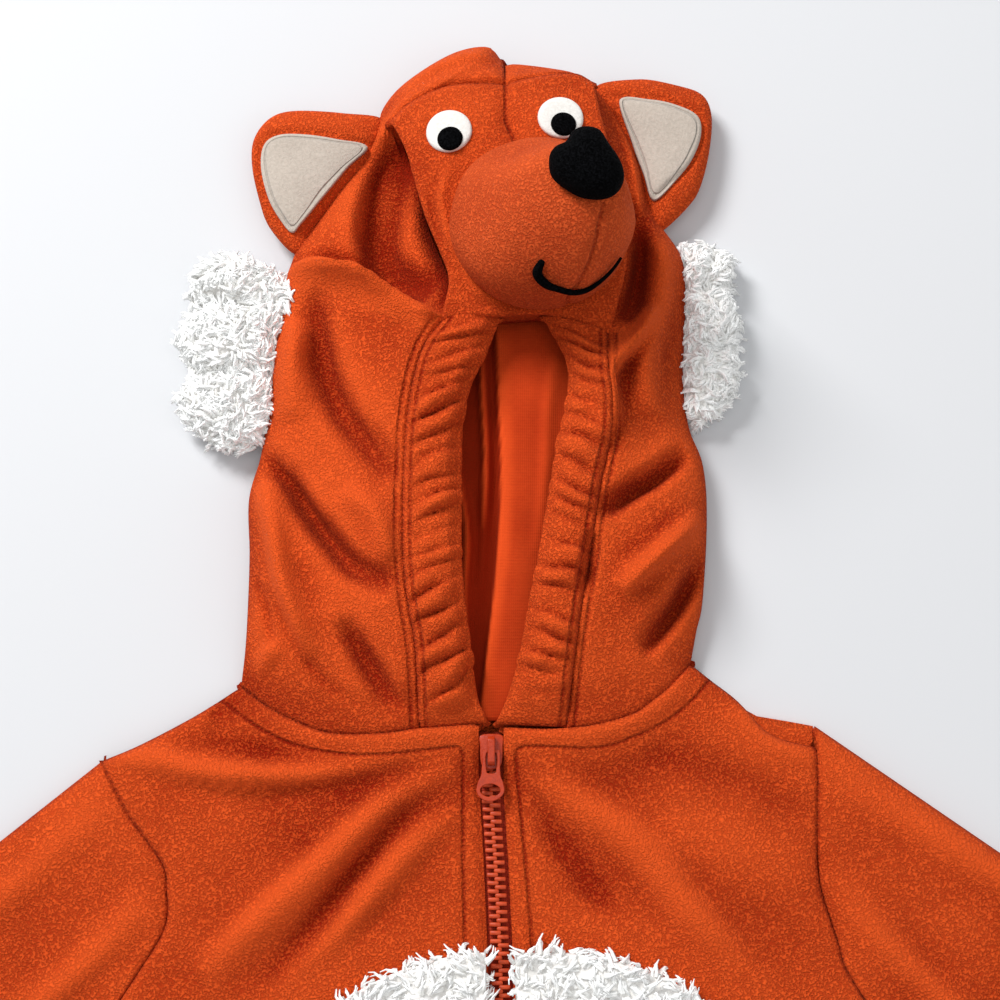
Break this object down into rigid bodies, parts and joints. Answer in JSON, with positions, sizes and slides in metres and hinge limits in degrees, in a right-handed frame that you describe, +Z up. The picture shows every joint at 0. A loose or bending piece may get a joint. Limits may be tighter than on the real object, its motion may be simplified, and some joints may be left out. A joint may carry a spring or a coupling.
{
  "type": "hooded animal costume",
  "caption": "Toddler's one-piece fleece fox costume with a zip front, a hood with a fox's face, stuffed muzzle and ears, and white fur on belly and cheeks, laid flat on its back.",
  "frame": {"origin": "middle of the footprint, on the floor the costume lies on", "axes": "+X toward the wearer's left sleeve, +Y toward the top of the hood, +Z up out of the front"},
  "size_m": [0.73, 0.9498, 0.0887],
  "materials": {
    "fleece": "orange fleece with a short pebbly pile",
    "jersey": "smooth knitted lining",
    "sherpa": "white long-pile fur in soft tufts",
    "felt": "pale felt",
    "black_plush": "black short plush",
    "zip_tape": "woven tape",
    "zip_plastic": "moulded plastic, half gloss"
  },
  "bodies": {
    "garment": {"back_left": "fleece", "back_right": "fleece", "belly_left": "sherpa", "belly_right": "sherpa", "cheek_left": "sherpa", "cheek_right": "sherpa", "ear_felt_left": "felt", "ear_felt_right": "felt", "ear_left": "fleece", "ear_right": "fleece", "eye_left": "felt", "eye_right": "felt", "face": "fleece", "front_left": "fleece", "front_right": "fleece", "hood_back_left": "fleece", "hood_back_right": "fleece", "hood_band_left": "fleece", "hood_band_right": "fleece", "hood_lining": "jersey", "hood_side_left": "fleece", "hood_side_right": "fleece", "mouth": "black_plush", "muzzle": "fleece", "nose": "black_plush", "pupil_left": "black_plush", "pupil_right": "black_plush", "sleeve_left": "fleece", "sleeve_right": "fleece", "zip_chain": "zip_plastic", "zip_slider": "zip_plastic", "zip_tape_left": "zip_tape", "zip_tape_right": "zip_tape"},
    "pull_tab": {"zip_pull": "zip_plastic"}
  },
  "joints": [
    {"name": "pull_tab_swing", "type": "hinge", "parent": "garment", "child": "pull_tab", "pos_m": [0.00398, 0.2099, 0.0122], "axis": [-1, 0, 0], "range_deg": [0, 145]}
  ]
}
